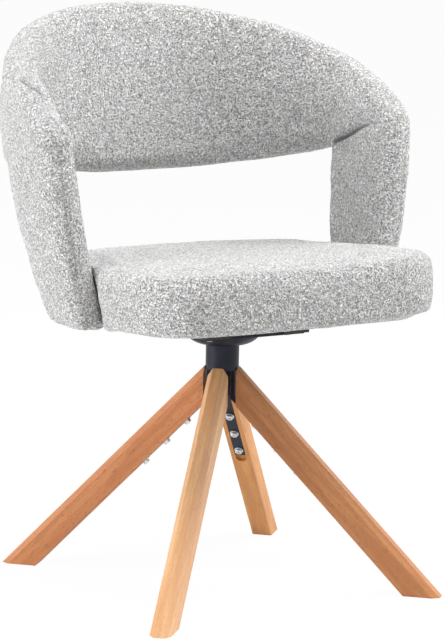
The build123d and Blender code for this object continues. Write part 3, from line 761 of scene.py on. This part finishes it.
def beech(name, angle, painted_light):
    """Oiled beech with its grain along one leg: broad figure, fine fibres and short flecks.

    The angle is the leg's, round the column, and the tone is multiplied by painted_light: painted
    light and shade, a brightness and tint of its own for each leg.
    """
    finish = Finish(name)
    slope, turn = math.radians(46), math.radians(angle)
    out = (math.cos(turn), math.sin(turn))
    down = (out[0] * math.cos(slope), out[1] * math.cos(slope), -math.sin(slope))
    up = (out[0] * math.sin(slope), out[1] * math.sin(slope), math.cos(slope))
    lengthwise = finish.along(down)
    across = finish.along((-out[1], out[0], 0))
    through_leg = finish.along(up)
    broad = finish.noise(finish.stretched(
        lengthwise * 5 + angle * 0.1, across * 60, through_leg * 70), 1, 3, 0.55, 0.6)
    fibres = finish.noise(finish.stretched(
        lengthwise * 45, across * 900, through_leg * 900), 1, 2, 0.6)
    flecks = finish.noise(finish.stretched(
        lengthwise * 150, across * 1100, through_leg * 500), 1, 1, 0.5)
    tone = finish.mix(broad.step(0.34, 0.66), (0.58, 0.275, 0.105), (0.72, 0.385, 0.165))
    tone = finish.mix(fibres.step(0.35, 0.68) * 0.35, tone, (0.47, 0.20, 0.072))
    tone = finish.mix(flecks.step(0.62, 0.72) * 0.5, tone, (0.36, 0.15, 0.06))
    # painted light and shade: the leg's own brightness and tint multiply its tone
    tone = finish.mix(1.0, tone, painted_light, "MULTIPLY")
    return finish.surface(
        base_color=tone, roughness=fibres * 0.25 + 0.36,
        normal=finish.bump(fibres + flecks * 0.5, 0.00006, 0.4),
        coat_weight=0.03, coat_roughness=0.3, specular_ior_level=0.42)


def coated_metal():
    """Anthracite powder coat: a fine orange-peel skin, paler and duller on worn spots."""
    finish = Finish("black_metal")
    peel = finish.noise(finish.place, 1400, 2, 0.5)
    worn = finish.noise(finish.place, 45, 3, 0.6)
    colour = finish.mix(worn.step(0.4, 0.7), (0.0105, 0.0125, 0.022), (0.015, 0.0175, 0.030))
    return finish.surface(
        base_color=colour, specular_ior_level=0.22, roughness=worn * 0.16 + 0.34,
        normal=finish.bump(peel, 0.00012, 0.45))


def bright_metal(name, colour, rough, scale):
    """Plated or plain steel with fine marks and dulled patches."""
    finish = Finish(name)
    dull = finish.noise(finish.place, 180, 3, 0.6)
    marks = finish.noise(finish.place, scale, 2, 0.6)
    darker = tuple(0.72 * value for value in colour)
    return finish.surface(
        base_color=finish.mix(dull.step(0.4, 0.7), colour, darker), metallic=1.0,
        roughness=dull * 0.2 + marks * 0.1 + rough, normal=finish.bump(marks, 0.00005, 0.3))


def moulded(name, colour, rough):
    """Moulded plastic or painted wood: fine skin texture and a little colour variation."""
    finish = Finish(name)
    skin_texture = finish.noise(finish.place, 900, 2, 0.6)
    drift = finish.noise(finish.place, 40, 2, 0.5)
    lighter = tuple(1.3 * value + 0.006 for value in colour)
    return finish.surface(
        base_color=finish.mix(drift.step(0.4, 0.7), colour, lighter), roughness=drift * 0.2 + rough,
        normal=finish.bump(skin_texture, 0.0001, 0.4))


def plywood():
    """Birch plywood: veneers a millimetre and a half thick, light and dark in turn."""
    finish = Finish("plywood")
    level = finish.along((0, math.sin(seat_tilt), math.cos(seat_tilt)))
    layers = finish.node("ShaderNodeMath", {"operation": "PINGPONG"}, {0: level, 1: 0.0015})
    figure = finish.noise(finish.stretched(
        finish.along((6, 0, 0)), finish.along((0, 90, 0)), level * 300), 1, 3, 0.6)
    veneer = finish.mix((layers * 667).step(0.35, 0.65), (0.56, 0.40, 0.24), (0.42, 0.27, 0.14))
    return finish.surface(
        base_color=finish.mix(figure.step(0.4, 0.7) * 0.5, veneer, (0.62, 0.47, 0.30)),
        roughness=0.62, normal=finish.bump(figure, 0.0002, 0.4))


def black_cloth():
    """Non-woven cloth under the seat: pressed fibres in every direction."""
    finish = Finish("black_cloth")
    fibres = finish.noise(finish.place, 700, 3, 0.7, 2.0)
    dots = finish.noise(finish.place, 260, 0)
    return finish.surface(
        base_color=finish.mix(fibres.step(0.4, 0.7), (0.012, 0.012, 0.013), (0.035, 0.035, 0.037)),
        roughness=0.9, normal=finish.bump(fibres + dots * 0.6, 0.0003, 0.6))


def wear(material, *nodes):
    """Gives CAD nodes their finish."""
    for node in nodes:
        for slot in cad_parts[node].material_slots:
            slot.material = material


boucle = boucle_cloth()
black_metal = coated_metal()
zinc = bright_metal("zinc", (0.80, 0.81, 0.83), 0.16, 2600)
plain_steel = bright_metal("plain_steel", (0.50, 0.50, 0.51), 0.26, 1800)
leg_places = {   # angle round the column, and the painted light and shade that multiply the tone
    "front_left": (-45, (0.67, 0.55, 0.48)), "rear_left": (45, (0.91, 0.82, 0.59)),
    "rear_right": (135, (0.73, 0.56, 0.50)), "front_right": (-135, (0.94, 1.03, 1.21))}
for place, (angle, painted_light) in leg_places.items():
    wear(beech(f"beech_{place}", angle, painted_light), f"leg_{place}")
    wear(black_metal, f"strap_{place}")
wear(
    black_metal, "column_tube", "swivel_plate", "swivel_cover", "back_frame",
    "arm_bracket_left", "arm_bracket_right")
wear(
    zinc, "leg_screws", "leg_washers", "plate_screws", "rail_screws",
    "bracket_bolts", "bracket_nuts", "retainer_clip")
wear(plain_steel, "spindle", "bearing_housing", "retainer_washer")
bearing_plastic = moulded("bearing_plastic", (0.06, 0.06, 0.065), 0.32)
wear(bearing_plastic, "bush_upper", "bush_lower", "thrust_washer")
wear(moulded("black_wood", (0.018, 0.017, 0.016), 0.45), "seat_rail_left", "seat_rail_right")
wear(plywood(), "seat_board")
wear(black_cloth(), "dust_cover")

# ================================================================ padded pieces
horseshoe = skin("horseshoe", through(horseshoe_cuts(), horseshoe_rows))
swell(horseshoe)
post_faces, face_sides = split_horseshoe(horseshoe)
back_pad = part_of(horseshoe, "back_pad", ~post_faces)
post_pad_left = part_of(horseshoe, "post_pad_left", post_faces & (face_sides > 0))
post_pad_right = part_of(horseshoe, "post_pad_right", post_faces & (face_sides < 0))
bpy.data.objects.remove(horseshoe)

seat_pad = skin("seat_pad", seat_rings())
swell(seat_pad)
crease_seat(seat_pad.data)

stands_for = {
    back_pad: "back_cushion", post_pad_left: "post_left", post_pad_right: "post_right",
    seat_pad: "seat_cushion"}
for pad, node in stands_for.items():
    pad.data.materials.clear()
    pad.data.materials.append(boucle)
    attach(pad, "seat")
    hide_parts(node)

# ================================================================ studio and camera
reach = 60.0   # metres
floor_corners = [(-reach, -reach, 0), (reach, -reach, 0), (reach, reach, 0), (-reach, reach, 0)]
floor_mesh = bpy.data.meshes.new("studio_floor")
floor_mesh.from_pydata(floor_corners, [], [(0, 1, 2, 3)])
studio_floor = bpy.data.objects.new("studio_floor", floor_mesh)
scene.collection.objects.link(studio_floor)

# White paper: nearly self-lit where it is seen or mirrored, and matte where it lights the chair.
paper = Finish("studio_paper")
rays = {name: paper.node("ShaderNodeLightPath", output=name) for name in (
    "Is Camera Ray", "Is Glossy Ray", "Is Transmission Ray")}
seen = rays["Is Camera Ray"] + rays["Is Glossy Ray"] + rays["Is Transmission Ray"]
matte = paper.node("ShaderNodeBsdfDiffuse", None, {"Color": (0.86, 0.86, 0.86, 1)})
white = paper.node("ShaderNodeEmission", None, {"Color": (1, 1, 1, 1), "Strength": 1.0})
paper.end_with(paper.node("ShaderNodeMixShader", None, {0: seen * 0.96, 1: matte, 2: white}))
floor_mesh.materials.append(paper.material)

# White sky: full where it is seen, mirrored or seen through, and weaker as a light.
sky = bpy.data.worlds.new("studio")
scene.world = sky
sky.use_nodes = True
tree = sky.node_tree
tree.nodes.clear()
light_path = tree.nodes.new("ShaderNodeLightPath")
direct_sky, seen_sky = tree.nodes.new("ShaderNodeMath"), tree.nodes.new("ShaderNodeMath")
direct_sky.operation = seen_sky.operation = "MAXIMUM"
tree.links.new(light_path.outputs["Is Camera Ray"], direct_sky.inputs[0])
tree.links.new(light_path.outputs["Is Transmission Ray"], direct_sky.inputs[1])
tree.links.new(direct_sky.outputs[0], seen_sky.inputs[0])
tree.links.new(light_path.outputs["Is Glossy Ray"], seen_sky.inputs[1])
strength = tree.nodes.new("ShaderNodeMapRange")
strength.inputs["To Min"].default_value = 0.272
strength.inputs["To Max"].default_value = 1.0
tree.links.new(seen_sky.outputs[0], strength.inputs["Value"])
background = tree.nodes.new("ShaderNodeBackground")
background.inputs["Color"].default_value = (1, 1, 1, 1)
tree.links.new(strength.outputs["Result"], background.inputs["Strength"])
world_out = tree.nodes.new("ShaderNodeOutputWorld")
tree.links.new(background.outputs[0], world_out.inputs["Surface"])


def soft_box(name, place, aim, width, height, power):
    """Rectangular lamp at a place, turned to face a point; metres and watts."""
    lamp = bpy.data.lights.new(name, "AREA")
    lamp.shape = "RECTANGLE"
    lamp.size, lamp.size_y, lamp.energy = width, height, power
    holder = bpy.data.objects.new(name, lamp)
    back = np.array(place, float) - np.array(aim, float)
    back /= np.linalg.norm(back)
    across = np.cross((0, 0, 1), back)
    across /= np.linalg.norm(across)
    rise = np.cross(back, across)
    turned = Matrix((across, rise, back)).transposed().to_4x4()
    turned.translation = place
    holder.matrix_world = turned
    scene.collection.objects.link(holder)


soft_box("lamp_left", (-3.2, 0.7, 1.15), (0, 0, 0.55), 1.8, 2.0, 115)
soft_box("lamp_right", (2.9, -0.6, 2.2), (0, 0, 0.6), 1.6, 2.2, 125)
soft_box("lamp_top", (0.0, -0.8, 3.3), (0, 0, 0.5), 2.0, 2.0, 104)

# The camera stands 3.9 m away, 30.9 degrees round from the chair's front and 1.035 m up.
distance, aside, camera_height = 3.9, -0.0104, 1.0349   # metres
round_chair, tip, roll = math.radians(30.9), 0.170, 0.018   # radians
right = np.array([math.cos(round_chair), -math.sin(round_chair), 0])
away = np.array([math.sin(round_chair), math.cos(round_chair), 0])
stand = aside * right - distance * away + np.array([0, 0, camera_height])
up = away * math.sin(tip) + np.array([0, 0, math.cos(tip)])
back = -(away * math.cos(tip) - np.array([0, 0, math.sin(tip)]))
axes = (
    right * math.cos(roll) + up * math.sin(roll),
    up * math.cos(roll) - right * math.sin(roll),
    back)
lens = bpy.data.cameras.new("camera")
lens.sensor_width = 36
lens.lens = 155.18
picture_height = 640        # pixels
lens.shift_x, lens.shift_y = 6.4 / picture_height, 10.9 / picture_height
lens.clip_end = 200
camera = bpy.data.objects.new("camera", lens)
pose = Matrix(axes).transposed().to_4x4()
pose.translation = stand
camera.matrix_world = pose
scene.collection.objects.link(camera)
scene.camera = camera
scene.view_settings.view_transform = "Standard"
